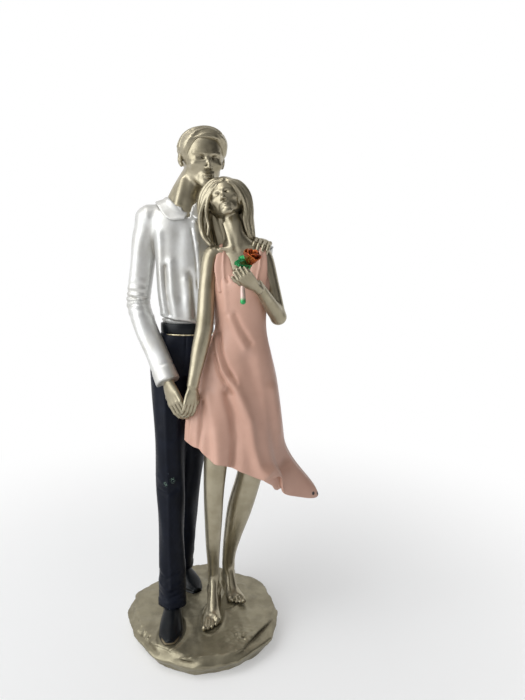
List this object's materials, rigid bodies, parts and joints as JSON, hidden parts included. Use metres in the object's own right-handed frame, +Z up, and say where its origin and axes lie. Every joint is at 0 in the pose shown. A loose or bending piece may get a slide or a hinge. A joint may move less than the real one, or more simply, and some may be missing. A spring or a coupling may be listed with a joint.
{
  "type": "couple figurine",
  "caption": "Free-standing painted resin figurine of a man and a woman embracing and holding hands on a slab of rock; she holds a rose.",
  "frame": {"origin": "centre of the base's underside, on the bottom face of the felt pad", "axes": "+Z up along the standing figures, -Y towards the viewer that the couple faces, +X to the viewer's right"},
  "size_m": [0.1204, 0.0961, 0.3021],
  "materials": {
    "champagne_paint": "metallic champagne paint on cast resin, satin to glossy",
    "white_paint": "satin off-white paint on cast resin",
    "navy_paint": "satin dark navy paint on cast resin",
    "black_paint": "glossy black paint on cast resin",
    "peach_paint": "satin peach-pink paint on cast resin",
    "rose_red_paint": "glossy metallic copper-red paint on cast resin",
    "leaf_green_paint": "glossy metallic green paint on cast resin",
    "felt": "short dark felt"
  },
  "bodies": {
    "root": {"felt_pad": "felt", "rock_slab": "champagne_paint", "man_head": "champagne_paint", "man_hair": "champagne_paint", "man_right_hand": "champagne_paint", "man_left_hand": "champagne_paint", "man_collar": "white_paint", "man_shirt": "white_paint", "man_right_sleeve": "white_paint", "man_left_sleeve": "white_paint", "man_belt": "black_paint", "man_trousers": "navy_paint", "man_right_shoe": "black_paint", "man_left_shoe": "black_paint", "woman_head": "champagne_paint", "woman_hair": "champagne_paint", "woman_right_arm": "champagne_paint", "woman_left_arm": "champagne_paint", "woman_right_leg": "champagne_paint", "woman_left_leg": "champagne_paint", "woman_dress": "peach_paint", "rose_bloom": "rose_red_paint", "rose_leaves": "leaf_green_paint", "rose_stem": "leaf_green_paint"}
  },
  "joints": []
}
